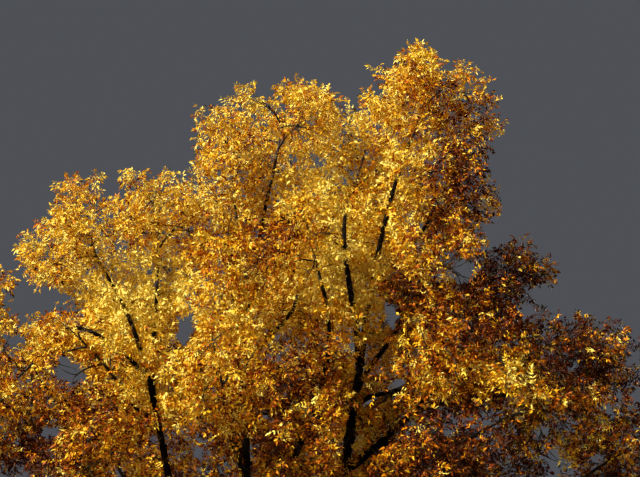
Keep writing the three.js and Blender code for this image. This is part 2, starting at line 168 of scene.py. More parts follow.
def limb_piece(name, curve, radius_at, ridges, per_ridge, spacing, dome):
    """A closed limb along a curve, with its bark raised on it and a rounded tip that stands up by dome."""
    shares = np.linspace(0, 1, math.ceil(length_of(curve) / spacing) + 1)
    centres, headings, side, other = rings_on(curve, shares)
    along = np.append(0, np.cumsum(np.linalg.norm(np.diff(centres, axis=0), axis=1)))[:, None]
    sides = ridges * per_ridge
    angle = np.arange(sides)[None] * math.tau / sides
    turn = len(name)  # so that limbs differ
    height = ridge_height(angle, along, ridges, turn)
    body = radius_at(shares[:, None], angle)
    slow, fast = SWELLINGS_ALONG
    waves = np.sin(SWELLINGS_ROUND * angle + slow * along + turn) + np.sin(fast * along + turn)
    radius = body * (1 + SWELLING * waves + RIDGE_DEPTH * (height - RIDGE_LEVEL))
    turns = np.linspace(0, math.pi / 2, DOME_RINGS + 2)[1:-1, None]
    centres = np.vstack([centres, centres[-1] + headings[-1] * dome * np.sin(turns)])
    radius = np.vstack([radius, radius[-1] * np.cos(turns)])
    height = np.vstack([height, np.repeat(height[-1:], DOME_RINGS, axis=0)])
    along = np.vstack([along, along[-1] + dome * np.sin(turns)])
    side = np.vstack([side, np.repeat(side[-1:], DOME_RINGS, axis=0)])
    other = np.vstack([other, np.repeat(other[-1:], DOME_RINGS, axis=0)])
    out = side[:, None] * np.cos(angle)[..., None] + other[:, None] * np.sin(angle)[..., None]
    points = (centres[:, None] + out * radius[..., None]).reshape(-1, 3)
    ends = np.array([centres[0], centres[-1] + headings[-1] * dome * (1 - math.sin(turns[-1, 0]))])
    straight = np.stack([radius * np.cos(angle), radius * np.sin(angle), along + 0 * angle], axis=-1)
    straight = np.vstack([straight.reshape(-1, 3), [[0, 0, 0], [0, 0, along[-1, 0]]]])
    mesh = bpy.data.meshes.new(name)
    mesh.from_pydata(np.vstack([points, ends]).tolist(), [], ring_faces(len(centres), sides))
    mesh.shade_smooth()
    mesh.attributes.new("straightened", "FLOAT_VECTOR", "POINT").data.foreach_set("vector", straight.ravel())
    heights = np.append(height.ravel(), [END_RIDGE, END_RIDGE])
    mesh.attributes.new("ridge", "FLOAT", "POINT").data.foreach_set("value", heights)
    return placed(name, mesh)


def new_finish(name):
    """A new material, with its nodes and its shader."""
    material = bpy.data.materials.new(name)
    material.use_nodes = True
    return material, material.node_tree, material.node_tree.nodes["Principled BSDF"]


def noise(tree, place, scale, detail):
    """A noise texture read at this place, in cycles to the metre."""
    texture = tree.nodes.new("ShaderNodeTexNoise")
    texture.inputs["Scale"].default_value = scale
    texture.inputs["Detail"].default_value = detail
    tree.links.new(place, texture.inputs["Vector"])
    return texture.outputs["Fac"]


def between(tree, value, low, high, from_values=(0.3, 0.7)):
    """The value spread from low to high. Where no values are given, it runs through the middle of a noise."""
    spread = tree.nodes.new("ShaderNodeMapRange")
    spread.inputs["From Min"].default_value = from_values[0]
    spread.inputs["From Max"].default_value = from_values[1]
    spread.inputs["To Min"].default_value = low
    spread.inputs["To Max"].default_value = high
    tree.links.new(value, spread.inputs["Value"])
    return spread.outputs["Result"]


def raise_bumps(tree, shader, value, strength, distance):
    bump = tree.nodes.new("ShaderNodeBump")
    bump.inputs["Strength"].default_value = strength
    bump.inputs["Distance"].default_value = distance
    tree.links.new(value, bump.inputs["Height"])
    tree.links.new(bump.outputs["Normal"], shader.inputs["Normal"])


def colours_over(tree, value, stops):
    """A colour for each value, through these pairs of value and colour."""
    ramp = tree.nodes.new("ShaderNodeValToRGB")
    for stop in stops[1:-1]:
        ramp.color_ramp.elements.new(stop[0])
    for element, (place, colour) in zip(ramp.color_ramp.elements, stops):
        element.position = place
        element.color = colour
    tree.links.new(value, ramp.inputs["Fac"])
    return ramp.outputs["Color"]


def laid_over(tree, colour, below, share, way):
    """A colour laid over the one below it, by this share and in this way."""
    mix = tree.nodes.new("ShaderNodeMix")
    mix.data_type = "RGBA"
    mix.blend_type = way
    mix.inputs["B"].default_value = colour
    tree.links.new(below, mix.inputs["A"])
    tree.links.new(share, mix.inputs["Factor"])
    return mix.outputs["Result"]


def bark_finish():
    material, tree, shader = new_finish("hickory bark")
    place = tree.nodes.new("ShaderNodeAttribute")
    place.attribute_name = "straightened"
    ridge = tree.nodes.new("ShaderNodeAttribute")
    ridge.attribute_name = "ridge"
    stretched = tree.nodes.new("ShaderNodeMapping")
    stretched.inputs["Scale"].default_value = GRAIN_STRETCH
    tree.links.new(place.outputs["Vector"], stretched.inputs["Vector"])
    grain = noise(tree, stretched.outputs["Vector"], scale=55, detail=5)
    furrow_shade_and_grain = tree.nodes.new("ShaderNodeMath")
    furrow_shade_and_grain.operation = "MULTIPLY_ADD"
    furrow_shade_and_grain.inputs[1].default_value = RIDGE_SHARE
    tree.links.new(ridge.outputs["Fac"], furrow_shade_and_grain.inputs[0])
    tree.links.new(between(tree, grain, low=-0.1, high=0.32), furrow_shade_and_grain.inputs[2])
    # Partly painted shade: the bark darkens down into its furrows
    stops = [(0.12, BARK_FURROW), (0.5, BARK_SIDE), (0.95, BARK_RIDGE)]
    wood = colours_over(tree, furrow_shade_and_grain.outputs["Value"], stops)
    patches = noise(tree, place.outputs["Vector"], scale=2.6, detail=6)
    crust = laid_over(tree, BARK_LICHEN, wood, between(tree, patches, low=-0.35, high=0.5), "MIX")
    # Painted shade: the bark is multiplied darker with height, up into the shaded crown
    height = tree.nodes.new("ShaderNodeSeparateXYZ")
    tree.links.new(tree.nodes.new("ShaderNodeTexCoord").outputs["Object"], height.inputs["Vector"])
    crown_shade = between(tree, height.outputs["Z"], low=0, high=1, from_values=CROWN_SHADE_HEIGHTS)
    tree.links.new(laid_over(tree, CROWN_SHADE_ON_BARK, crust, crown_shade, "MULTIPLY"), shader.inputs["Base Color"])
    tree.links.new(between(tree, grain, low=0.8, high=0.96), shader.inputs["Roughness"])
    shader.inputs["Specular IOR Level"].default_value = BARK_SHINE
    raise_bumps(tree, shader, grain, strength=0.7, distance=0.008)
    return material


def trunk_radius(shares, angle):
    """The root flare stands out in buttresses, and dies away up the trunk."""
    spread = FLARE * np.exp(-shares * TRUNK_HEIGHT / FLARE_HEIGHT)
    column = BREAST_RADIUS + (FORK_RADIUS - BREAST_RADIUS) * shares
    return column + spread * (1 + BUTTRESS_SHARE * np.cos(BUTTRESSES * angle))


def ridges_round(radius):
    return round(math.tau * radius / RIDGE_SPACING)


bark = bark_finish()
trunk_curve = np.array([
    (0, 0, 0),
    (0, 0, TRUNK_HEIGHT / 3),
    (TRUNK_LEAN / 2, 0, TRUNK_HEIGHT * 2 / 3),
    (TRUNK_LEAN, 0, TRUNK_HEIGHT),
])
trunk = limb_piece("trunk_bark", trunk_curve, trunk_radius, ridges_round(BREAST_RADIUS),
                   TRUNK_POINTS_PER_RIDGE, TRUNK_RING_SPACING, TRUNK_DOME)
trunk.data.materials.append(bark)
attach(trunk, "root")
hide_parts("trunk")


# The stems and boughs
# Three main stems part at the fork and a fourth leaves one of them, and the boughs spread from these. All are
# living wood with the trunk's bark, grown into their carrier with a collar, and taper to their own leaves.
TIP_RADIUS = 0.045
TAPER = 1.5  # 1 is an even taper, and more thins a limb sooner
COLLAR = 0.3
FORK_COLLAR = 0.58  # of the stems that part at the trunk's fork
COLLAR_SHARE = 0.05
FOLLOW_CARRIER = 0.55  # how much of its carrier's direction a bough starts with
REACH_UP = 0.35
GUIDE = 0.36
ENTRY = 0.82
LIMB_RING_SPACING = 0.1
LIMB_POINTS_PER_RIDGE = 3
UP = np.array([0.0, 0.0, 1.0])

# centre and half are the middle and the half sizes of the mass of leaves at the limb's end, in metres.
LIMBS = [
    {"name": "stem_right", "from": "trunk", "at": 1, "radius": 0.215,
     "guides": [(2.6, -0.7, 9.4), (1.9, -2.6, 13.6)],
     "centre": (4.35, 0, 20.4), "half": (1.9, 2.3, 2.1), "tint": "gold"},
    {"name": "stem_middle", "from": "trunk", "at": 0.9, "radius": 0.18,
     "guides": [(-0.7, 0.4, 8.5), (-0.9, -0.4, 13.4)],
     "centre": (0.25, 0.4, 19.4), "half": (2, 2.2, 1.95), "tint": "gold"},
    {"name": "stem_left", "from": "trunk", "at": 0.76, "radius": 0.165,
     "guides": [(-2.9, -0.9, 8), (-2.2, -1.3, 11.6)],
     "centre": (-5, -0.2, 16.05), "half": (1.9, 2.2, 1.85), "tint": "gold"},
    {"name": "stem_front", "from": "stem_middle", "at": 0.3, "radius": 0.14,
     "guides": [(0.5, -1.7, 9.6), (2, -2.2, 11.6)],
     "centre": (1, -2.9, 15), "half": (1.25, 2.1, 1.7), "tint": "gold"},
    {"name": "bough_saddle", "from": "stem_right", "at": 0.55, "radius": 0.1,
     "guides": [(2.2, -2.3, 13.6), (1.6, -2.2, 15.4)],
     "centre": (2.5, 1.2, 18.65), "half": (1.8, 2.2, 2.4), "tint": "gold"},
    {"name": "bough_main_right", "from": "stem_right", "at": 0.37, "radius": 0.12,
     "guides": [(3, -1.2, 10.3), (4.4, -1.2, 11.8)],
     "centre": (6.25, 0.4, 14.7), "half": (1.5, 2.4, 1.55), "tint": "bronze"},
    {"name": "bough_right_upper", "from": "stem_right", "at": 0.68, "radius": 0.075,
     "centre": (4.9, -0.5, 17.4), "half": (1.4, 2.3, 1.9), "tint": "amber"},
    {"name": "bough_upper_left", "from": "stem_middle", "at": 0.7, "radius": 0.075,
     "centre": (-1.15, -0.4, 18), "half": (1.35, 2.1, 2.1), "tint": "gold"},
    {"name": "bough_left_shoulder", "from": "stem_left", "at": 0.66, "radius": 0.075,
     "centre": (-3, -0.3, 16.2), "half": (1.7, 2.2, 2.1), "tint": "gold"},
    {"name": "bough_centre_left", "from": "stem_middle", "at": 0.5, "radius": 0.08,
     "centre": (-0.9, -2.9, 14), "half": (1.6, 2, 1.7), "tint": "gold"},
    {"name": "bough_centre_right", "from": "stem_right", "at": 0.5, "radius": 0.08,
     "centre": (4, -2.9, 14.1), "half": (1.6, 2, 1.6), "tint": "amber"},
    {"name": "bough_left_mid", "from": "stem_left", "at": 0.6, "radius": 0.08,
     "centre": (-4.3, -2.4, 12), "half": (1.8, 2.2, 1.5), "tint": "gold"},
    {"name": "bough_left_low", "from": "stem_left", "at": 0.72, "radius": 0.058,
     "guides": [(-3.9, -0.9, 13), (-5, -0.9, 13.7)],
     "centre": (-6.5, -0.3, 11.8), "half": (2.1, 2.6, 2.3), "tint": "amber"},
    {"name": "bough_left_front", "from": "stem_left", "at": 0.32, "radius": 0.08,
     "centre": (-3.8, -3.4, 9.5), "half": (1.8, 2.2, 1.5), "tint": "amber"},
    {"name": "bough_mid_left", "from": "stem_middle", "at": 0.38, "radius": 0.08,
     "centre": (-1.1, -3.9, 11.3), "half": (1.6, 2.1, 1.6), "tint": "gold"},
    {"name": "bough_low_centre", "from": "stem_front", "at": 0.2, "radius": 0.075,
     "centre": (0.6, -4.2, 10.2), "half": (1.3, 2, 1.6), "tint": "amber"},
    {"name": "bough_right_mid", "from": "stem_right", "at": 0.47, "radius": 0.08,
     "centre": (4.6, -3.8, 11.8), "half": (1.8, 2.2, 1.5), "tint": "amber"},
    {"name": "bough_right_far", "from": "bough_main_right", "at": 0.45, "radius": 0.08,
     "centre": (8.05, 0, 12.6), "half": (1.65, 2.4, 1.5), "tint": "bronze"},
    {"name": "bough_right_low", "from": "bough_main_right", "at": 0.2, "radius": 0.08,
     "centre": (6.6, -2.9, 10.4), "half": (1.8, 2.3, 1.5), "tint": "bronze"},
    {"name": "bough_right_front", "from": "stem_right", "at": 0.26, "radius": 0.08,
     "centre": (3.9, -4.5, 8.8), "half": (1.8, 2.2, 1.5), "tint": "amber"},
    {"name": "bough_far_right", "from": "stem_right", "at": 0.2, "radius": 0.11,
     "centre": (9, 0.2, 10), "half": (1.6, 2.5, 1.7), "tint": "bronze"},
    {"name": "bough_back_top", "from": "stem_middle", "at": 0.6, "radius": 0.11,
     "centre": (1.2, 4, 16.8), "half": (2.7, 2.5, 2.3), "tint": "amber"},
    {"name": "bough_back_left", "from": "stem_middle", "at": 0.44, "radius": 0.12,
     "centre": (-3.6, 4, 14.3), "half": (2.8, 2.9, 2.4), "tint": "amber"},
    {"name": "bough_back_right", "from": "stem_right", "at": 0.42, "radius": 0.12,
     "centre": (5.4, 4.2, 14.8), "half": (2.9, 2.8, 2.4), "tint": "bronze"},
    {"name": "bough_back_middle", "from": "stem_middle", "at": 0.32, "radius": 0.12,
     "centre": (1.2, 5.1, 12.5), "half": (3, 2.7, 2.4), "tint": "amber"},
    {"name": "bough_back_low_left", "from": "stem_left", "at": 0.24, "radius": 0.1,
     "centre": (-3.6, 4.2, 10), "half": (2.8, 2.8, 2.3), "tint": "amber"},
    {"name": "bough_back_low_right", "from": "stem_right", "at": 0.3, "radius": 0.12,
     "centre": (5.2, 4.7, 10), "half": (2.9, 2.8, 2.3), "tint": "bronze"},
    {"name": "bough_skirt_left", "from": "stem_left", "at": 0.16, "radius": 0.08,
     "centre": (-5, -0.1, 7.5), "half": (2.1, 2.4, 1.5), "tint": "amber"},
    {"name": "bough_skirt_back", "from": "stem_middle", "at": 0.16, "radius": 0.1,
     "centre": (0.4, 4.4, 8), "half": (2.3, 2.3, 1.6), "tint": "amber"},
]


def limb_curve(limb, carrier):
    """A limb starts inside its carrier, or on the trunk's top, and ends on the near side of its leaves."""
    start = point_on(carrier, [limb["at"]])[0]
    leaving = heading_on(carrier, [limb["at"]])[0]
    centre, half = np.array(limb["centre"]), np.array(limb["half"])
    guides = limb.get("guides", [])
    last = guides[-1] if guides else start
    tip = centre + ENTRY * unit((last - centre) / half) * half
    if guides:
        return np.array([start, *guides, tip])
    span = np.linalg.norm(tip - start)
    heading = (tip - start) / span
    first = unit(heading + FOLLOW_CARRIER * (leaving - heading))
    final = unit(heading + REACH_UP * (UP - heading))
    return np.array([start, start + GUIDE * span * first, tip - GUIDE * span * final, tip])


def limb_radius(limb, shares):
    body = TIP_RADIUS + (limb["radius"] - TIP_RADIUS) * (1 - shares) ** TAPER
    collar = FORK_COLLAR if limb["from"] == "trunk" else COLLAR
    return body * (1 + collar * np.exp(-shares / COLLAR_SHARE))


curves = {"trunk": trunk_curve}
for limb in LIMBS:
    curves[limb["name"]] = limb_curve(limb, curves[limb["from"]])
    limb_bark = limb_piece(
        limb["name"] + "_bark", curves[limb["name"]],
        lambda shares, angle: limb_radius(limb, shares) + 0 * angle,
        ridges_round(limb["radius"]), LIMB_POINTS_PER_RIDGE, LIMB_RING_SPACING, TIP_RADIUS)
    limb_bark.data.materials.append(bark)
    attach(limb_bark, "root")
    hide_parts(limb["name"])


# The branches and twigs
# A slender stem carries each bough on into its mass of leaves. Branches leave it, branchlets leave them for
# each clump of leaves, and twigs spread through the clump. Clumps ring the limbs too. All is young wood.
FIRST_SEED = 101
SEED_STEP = 17
DRAW_FACTOR = 1664525  # these three make a run of numbers that looks random
DRAW_STEP = 1013904223
DRAW_RANGE = 2**32
GOLDEN_TURN = math.pi * (3 - math.sqrt(5))
BEAD_SPACING = 0.06  # of the points that stand for a limb when distances are measured
WALL_GAP = 0.012
LIMB_GAP = 0.01
STEM_THROUGH = 0.34  # how far past the middle of its mass a stem reaches
STEM_RISE = 0.22
BRANCHES = 7
BRANCH_REACH = 0.5
BRANCH_SAG = 0.18
BRANCH_FIRST = 0.3
BRANCH_LAST = 0.98
BRANCH_CHECKS = 33  # points at which a branch has to be free
BASE_CLEAR = 0.2  # keeps a branch from heading straight back to the limb
STEM_RADII = (0.048, 0.02)
BRANCH_RADII = (0.032, 0.012)
BRANCHLET_RADII = (0.015, 0.006)
TWIG_RADII = (0.006, 0.0)
TWIG_DARK = (0.014, 0.01, 0.007, 1)
TWIG_PALE = (0.05, 0.036, 0.025, 1)
LOBES = 5  # waves that shape a mass's edge
LOBE_WAVES = 4.5
LOBE_DEPTH = 0.32  # at the top of a mass, and less below
LOBE_FADE = 0.6  # of that depth, half way up a mass
LOBE_LEAST = 0.25  # and at its foot
LOBE_MIDDLE = 0.5  # how far in the edge lies between its lobes and hollows, as a share of the depth there
LOBE_SWING = 0.7  # and how far it swings out and in
LOBE_REACH = 1.06  # the furthest that it stands out, as a share of the half size
HIGHEST = 22.25  # that a leaf's tip may stand, outside the tufts
NEAR = 1.3  # of a mass's half size, within which it counts as near
MOST_NEAR = 3  # others that count
SPREAD = 0.14  # how much further a mass spreads for each other mass near, after the first
CLUMPS_PER_M3 = 1.7
CORE_MASSES = 3  # a clump near to this many masses lies in the crown's core, where most twigs are bare
CORE_SHARE = 0.3  # of the clumps there have leaves
CLUMP_SHARES = [0.8, 0.74, 0.45, 0.84, 0.7, 1.02, 0.77, 1.12]  # how far out in their mass the clumps lie
CLUMP_SHARE_SPREAD = 0.05
CLUMP_TILT = 0.1
LIMB_CLUMPS_FROM = 0.26  # of a limb, where clumps of leaves start along it
LIMB_CLUMPS_TO = 0.96
LIMB_CLUMPS_SPACING = 0.75
LEAFY_LIMBS = {"stem_front": 0.3, "stem_left": 0.42, "stem_right": 0.42, "stem_middle": 0.45,
               "bough_left_low": 0.34, "bough_left_shoulder": 0.4, "bough_right_mid": 0.45,
               "bough_saddle": 0.45}  # spacings of their own
LIMB_CLUMPS_REACH = 0.36
LIMB_CLUMPS_OUT = 0.6  # how far they turn away from the middle of the crown, to the light
LIMB_CLUMPS_FRONT = 0.6  # and to the open side in front
LIMB_CLUMPS_TILT = 0.3
CROWN_MIDDLE = (0.8, 0.4)
CLUMP_RADIUS = 0.42
CLUMP_FLATTENING = 0.85
CLUMP_SCATTER = 0.12
TWIGS_PER_CLUMP = 10
BRANCHLET_FREE_FROM = 0.3  # of its length, past which a branchlet keeps clear of every limb
BESIDE_FREE_FROM = 0.7  # the same for one that leaves a limb
BRANCHLET_CHECKS = 8  # points at which it has to be clear
BRANCHLET_ROOM = 0.02
TWIG_ROOM = 0.05
TUFTS = {  # middles of small tufts that stand out of a mass's edge
    "stem_right": [(5.2, 0.0, 21.1), (5.95, 0.0, 19.6), (4.1, 0.0, 21.7)],
    "stem_middle": [(0.6, 0.4, 20.8)],
    "stem_left": [(-5.4, -0.2, 17.5)],
    "bough_main_right": [(6.6, 0.4, 15.95), (7.2, 0.4, 15.3)],
    "bough_upper_left": [(-1.65, -0.4, 19.5)],
    "bough_left_low": [(-7.1, -0.3, 14.8), (-7.3, -0.3, 14.2), (-7.0, -0.3, 13.6)],
    "bough_low_centre": [(1.6, -5.7, 10.0), (1.6, -5.8, 9.5), (1.5, -5.8, 8.9)],
    "bough_right_mid": [(5.34, -5.7, 10.7), (5.85, -5.7, 10.3)],
    "bough_right_low": [(5.95, -2.9, 9.2)],
}
TUFT_SIZE = 0.55  # as a share of a clump
TWIG_LIMIT = 0.96  # of the mass's half size, so that the leaves at its end keep inside
TWIG_BEND = 0.35
TURN_COST = 0.5  # how much further off older wood counts, for a shoot that would leave it at a right angle
OBSTACLE_REACH = 1  # how far beyond a mass its twigs and leaves still keep clear of other wood

# Gaps right through the crown, where its masses stand apart. Each is the middle and the half sizes, in X and
# Z, of its outline on the plane through the trunk, as it is seen from the eye.
CROWN_GAPS = [
    (-5.9, 14.4, 0.56, 0.36),
    (-6.7, 13.3, 0.28, 0.2),
    (-6.0, 15.7, 0.2, 0.13),
    (-5.6, 10.8, 0.34, 0.18),
    (-5.15, 12.5, 0.42, 0.38),
    (-4.4, 17.8, 0.3, 0.42),
    (-3.9, 12.3, 0.16, 0.1),
    (-2.9, 10.6, 0.18, 0.14),
    (-2.2, 13.6, 0.28, 0.46),
    (-1.7, 10.3, 0.12, 0.16),
    (-0.1, 11.3, 0.17, 0.11),
    (2.6, 11.7, 0.24, 0.18),
    (2.9, 20.6, 0.16, 0.24),
    (3.15, 13.95, 0.27, 0.32),
    (3.3, 12.1, 0.26, 0.2),
    (4.6, 10.8, 0.16, 0.12),
    (5.15, 15.2, 0.42, 0.34),
    (6.1, 16.4, 0.45, 0.4),
    (6.45, 21.0, 0.45, 0.5),
    (-2.45, 18.6, 0.35, 0.45),
    (6.2, 13.2, 0.4, 0.16),
    (6.7, 14.1, 0.26, 0.22),
    (6.9, 10.9, 0.18, 0.14),
    (7.2, 14.5, 0.4, 0.34),
    (7.2, 10.2, 0.26, 0.3),
    (8.3, 10.2, 0.17, 0.17),
    (8.7, 11.4, 0.17, 0.24),
]
GAP_RAGGED = [(0.28, 2, 2.3), (0.22, 5, 1.1)]  # size, number and shift of the waves in its outline
CLUMP_GAP = 0.5  # of a gap's outline, within which no clump has its middle
TWIG_GAP = 1.0  # and no twig ends
LEAF_GAP = 0.8  # and no leaf ends

# Stretches of the limbs that show between the leaves before them, as shares of each limb, with the widest
# margin of open air on each side
SEEN_LIMBS = [
    ("stem_right", 0.32, 0.56, 0.05),
    ("stem_middle", 0.38, 0.5, 0.03),
    ("stem_front", 0.26, 0.42, 0.05),
    ("stem_left", 0.48, 0.72, 0.04),
    ("stem_left", 0.74, 0.92, 0.06),
    ("stem_right", 0.76, 0.9, 0.06),
    ("bough_saddle", 0.3, 0.9, 0.07),
    ("bough_main_right", 0.05, 0.4, 0.02),
    ("bough_left_low", 0.1, 0.7, 0.07),
]
SEEN_WAVE = 3.4  # radians along a limb for each metre, as its margin widens and closes
SEEN_CLOSING = 0.07  # how far the margin closes in on the limb itself
SEEN_SHUT = -0.6  # the height of that wave below which the limb is veiled


def draws(seed):
    """The same run of numbers from 0 to 1 follows from the same seed."""
    while True:
        seed = (seed * DRAW_FACTOR + DRAW_STEP) % DRAW_RANGE
        yield seed / DRAW_RANGE


def even_directions(count, turn):
    """Directions spread evenly over a ball, turned about the upright by turn."""
    i = np.arange(count)
    height = 1 - (2 * i + 1) / count
    ring = np.sqrt(1 - height**2)
    angle = i * GOLDEN_TURN + turn
    return np.stack([ring * np.cos(angle), ring * np.sin(angle), height], axis=-1)


def space_of(limb, seed):
    """The rounded space of a mass, the flat walls that keep it apart from its neighbours, and its lobes."""
    centre, half = np.array(limb["centre"]), np.array(limb["half"])
    chance = np.random.default_rng(seed)
    normals, points = [], []
    for other in LIMBS:
        if other is limb:
            continue
        offset = np.array(other["centre"]) - centre
        normal = unit(offset)
        own = 1 / np.linalg.norm(normal / half)
        theirs = 1 / np.linalg.norm(normal / np.array(other["half"]))
        normals.append(normal)
        points.append(centre + offset * own / (own + theirs))
    return {"centre": centre, "half": half, "normals": np.array(normals), "points": np.array(points),
            "lobes": chance.normal(0, LOBE_WAVES, (LOBES, 3)), "phases": chance.uniform(0, math.tau, LOBES)}


def masses_near(points):
    """How many masses each point is near to, its own among them."""
    return (np.linalg.norm((points[:, None] - all_centres) / all_halves, axis=2) < NEAR).sum(axis=1)


def inside(space, points, limit):
    """Which points lie inside a mass, out to this share of its lobed edge. Towards other masses it spreads a
    little further, so that no hole is left between them."""
    place = (points - space["centre"]) / space["half"]
    far = np.linalg.norm(place, axis=1) + 1e-9  # never quite 0
    wave = np.sin(place / far[:, None] @ space["lobes"].T + space["phases"]).mean(axis=1) * LOBES**0.5
    depth = LOBE_DEPTH * np.clip(LOBE_FADE + place[:, 2] / far, LOBE_LEAST, 1)
    lobed = np.clip(1 - depth * (LOBE_MIDDLE - LOBE_SWING * wave), 0, LOBE_REACH)
    others = np.clip(masses_near(points) - 1, 0, MOST_NEAR)
    edge = np.where(others == 0, lobed, 1 + SPREAD * (others - 1))
    return (far <= limit * edge) & (points[:, 2] < HIGHEST)


def held(space, points, limit=1.0):
    """Which points are inside a mass and on its own side of every wall."""
    past = points @ space["normals"].T - (space["points"] * space["normals"]).sum(axis=1)
    return inside(space, points, limit) & (past < -WALL_GAP).all(axis=1)


def beads_on(curve, radius_at):
    """Points along a curve, each with the radius there, as one array of four columns."""
    shares = np.linspace(0, 1, math.ceil(length_of(curve) / BEAD_SPACING) + 1)
    return np.column_stack([point_on(curve, shares), radius_at(shares)])


def clear_of(beads, points, room):
    distance = np.linalg.norm(points[:, None] - beads[None, :, :3], axis=2)
    return (distance > beads[:, 3] + room).all(axis=1)


def seen_against(points):
    """Where points fall on the plane through the trunk, as they are seen from the eye."""
    scale = -EYE[1] / (points[:, 1] - EYE[1])
    return EYE + (points - EYE) * scale[:, None]


def in_gap(points, share):
    """Which points lie in a gap, out to this share of its ragged outline."""
    seen = seen_against(points)
    hidden = np.zeros(len(points), bool)
    for number, (x, z, half_width, half_height) in enumerate(CROWN_GAPS):
        across_gap, up_gap = (seen[:, 0] - x) / half_width, (seen[:, 2] - z) / half_height
        turn = np.arctan2(up_gap, across_gap)
        ragged = sum((size * np.sin(waves * turn + shift * number) for size, waves, shift in GAP_RAGGED), 1)
        hidden |= np.hypot(across_gap, up_gap) < share * ragged
    return hidden


def before_limbs(points):
    """Which points would hide a stretch of limb that shows."""
    seen = seen_against(points)[:, None, [0, 2]]
    near = np.linalg.norm(seen - shown_places[None], axis=2) < shown_beads[:, 3]
    nearer = points[:, 1, None] < shown_beads[None, :, 1]
    return (near & nearer).any(axis=1)


def stem_curve(limb, space):
    curve = curves[limb["name"]]
    tangent = heading_on(curve, [1])[0]
    base = curve[-1]
    to_centre = space["centre"] - base
    end = space["centre"] + STEM_THROUGH * to_centre + UP * STEM_RISE * space["half"][2]
    return np.array([base, base + tangent * np.linalg.norm(to_centre) / 2, end])


def branch_curves(stem, space, obstacles, seed):
    """The branches that leave a stem, each on the side of the stem that it heads for."""
    draw = draws(seed)
    stem_heading = unit(stem[2] - stem[0])
    branches = []
    for heading in even_directions(BRANCHES, next(draw) * math.tau):
        late = (1 + heading @ stem_heading) / 2
        share = BRANCH_FIRST + (BRANCH_LAST - BRANCH_FIRST) * late
        start = point_on(stem, [share])[0]
        end = heading * space["half"] * BRANCH_REACH + space["centre"]
        sag = heading_on(stem, [share])[0] * BRANCH_SAG * np.linalg.norm(end - start)
        curve = np.array([start, (start + end) / 2 + sag, end])
        points = point_on(curve, np.linspace(0, 1, BRANCH_CHECKS))
        free = held(space, points) & clear_of(obstacles, points, BRANCH_RADII[0] + LIMB_GAP)
        if heading @ stem_heading >= -1 + BASE_CLEAR and free.all():
            branches.append(curve)
    return branches


def shoot(wood, headings, end):
    """A curve to end from the older wood that serves it best, being near and already heading that way."""
    offsets = end - wood
    distance = np.linalg.norm(offsets, axis=1) + 1e-6  # never quite 0
    turned = 1 - (offsets * headings).sum(axis=1) / distance
    best = np.argmin(distance * (1 + TURN_COST * turned))
    return np.array([wood[best], wood[best] + headings[best] * TWIG_BEND * distance[best], end])


def samples_on(shoots, first, count):
    """Points of older wood that a finer shoot may leave from, and the way it heads there."""
    shares = np.linspace(first, 1, count)
    points = np.vstack([point_on(curve, shares) for curve in shoots])
    return points, np.vstack([heading_on(curve, shares) for curve in shoots])


def clumps_on(curve, spacing, chance):
    """Middles of the small clumps that stand round the outer part of a limb."""
    count = max(2, round(length_of(curve, LIMB_CLUMPS_FROM) / spacing))
    shares = np.linspace(LIMB_CLUMPS_FROM, LIMB_CLUMPS_TO, count)
    headings = heading_on(curve, shares)
    places = point_on(curve, shares)
    turned = even_directions(count, chance.uniform(0, math.tau))
    turned += chance.normal(0, LIMB_CLUMPS_TILT, (count, 3))
    turned += unit((places - (*CROWN_MIDDLE, 0)) * (1, 1, 0)) * LIMB_CLUMPS_OUT
    turned[:, 1] -= LIMB_CLUMPS_FRONT
    side = unit(turned - headings * (turned * headings).sum(axis=1, keepdims=True))
    return places + side * LIMB_CLUMPS_REACH


